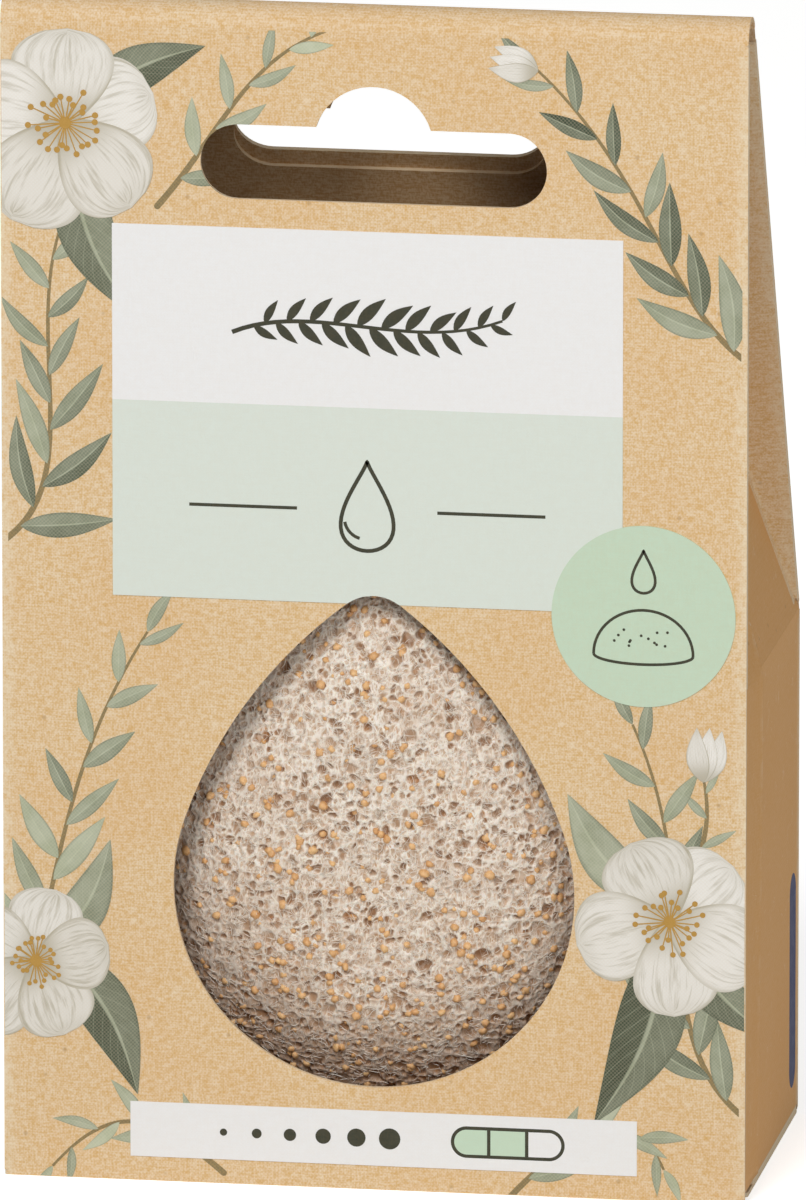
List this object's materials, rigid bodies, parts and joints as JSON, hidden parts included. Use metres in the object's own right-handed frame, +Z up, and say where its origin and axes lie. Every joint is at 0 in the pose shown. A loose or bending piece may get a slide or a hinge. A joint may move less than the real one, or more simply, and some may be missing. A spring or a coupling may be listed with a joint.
{
  "type": "konjac sponge",
  "caption": "Drop-shaped konjac facial sponge in a kraft hanging carton with a drop window, hang slot and tuck-in bottom.",
  "frame": {"origin": "under the middle of the carton, on the surface it stands on", "axes": "+X to the right of someone who looks at the window, +Y from the front to the back, +Z up"},
  "size_m": [0.069, 0.034, 0.111],
  "materials": {
    "kraft_board": "uncoated, printed",
    "konjac_foam": "open-pored foam"
  },
  "bodies": {
    "carton": {"front_panel": "kraft_board", "back_panel": "kraft_board", "back_slope_panel": "kraft_board", "hang_flap": "kraft_board", "top_fold": "kraft_board", "right_side_panel": "kraft_board", "left_side_panel": "kraft_board", "right_gusset_web": "kraft_board", "left_gusset_web": "kraft_board", "right_front_leaf": "kraft_board", "left_front_leaf": "kraft_board", "right_back_leaf": "kraft_board", "left_back_leaf": "kraft_board", "glue_flap": "kraft_board"},
    "bottom_panel": {"bottom_panel": "kraft_board"},
    "tuck_flap": {"tuck_flap": "kraft_board"},
    "right_dust_flap": {"right_dust_flap": "kraft_board"},
    "left_dust_flap": {"left_dust_flap": "kraft_board"},
    "sponge": {"sponge": "konjac_foam"}
  },
  "joints": [
    {"name": "bottom_crease", "type": "hinge", "parent": "carton", "child": "bottom_panel", "pos_m": [0, 0.017, 0.00045], "axis": [1, 0, 0], "range_deg": [0, 110]},
    {"name": "tuck_crease", "type": "hinge", "parent": "bottom_panel", "child": "tuck_flap", "pos_m": [0, -0.0157, 0.00045], "axis": [-1, 0, 0], "range_deg": [0, 75]},
    {"name": "right_dust_crease", "type": "hinge", "parent": "carton", "child": "right_dust_flap", "pos_m": [0.0345, 0, 0.001], "axis": [0, -1, 0], "range_deg": [0, 80]},
    {"name": "left_dust_crease", "type": "hinge", "parent": "carton", "child": "left_dust_flap", "pos_m": [-0.0345, 0, 0.001], "axis": [0, 1, 0], "range_deg": [0, 80]},
    {"name": "sponge_lift", "type": "slide", "parent": "carton", "child": "sponge", "axis": [0, 0, 1], "range_m": [0, 0.012]}
  ],
  "couplings": [
    {"joint": "tuck_crease", "follows": "bottom_crease", "ratio": 0.65},
    {"joint": "right_dust_crease", "follows": "bottom_crease", "ratio": 0.7},
    {"joint": "left_dust_crease", "follows": "bottom_crease", "ratio": 0.7}
  ]
}
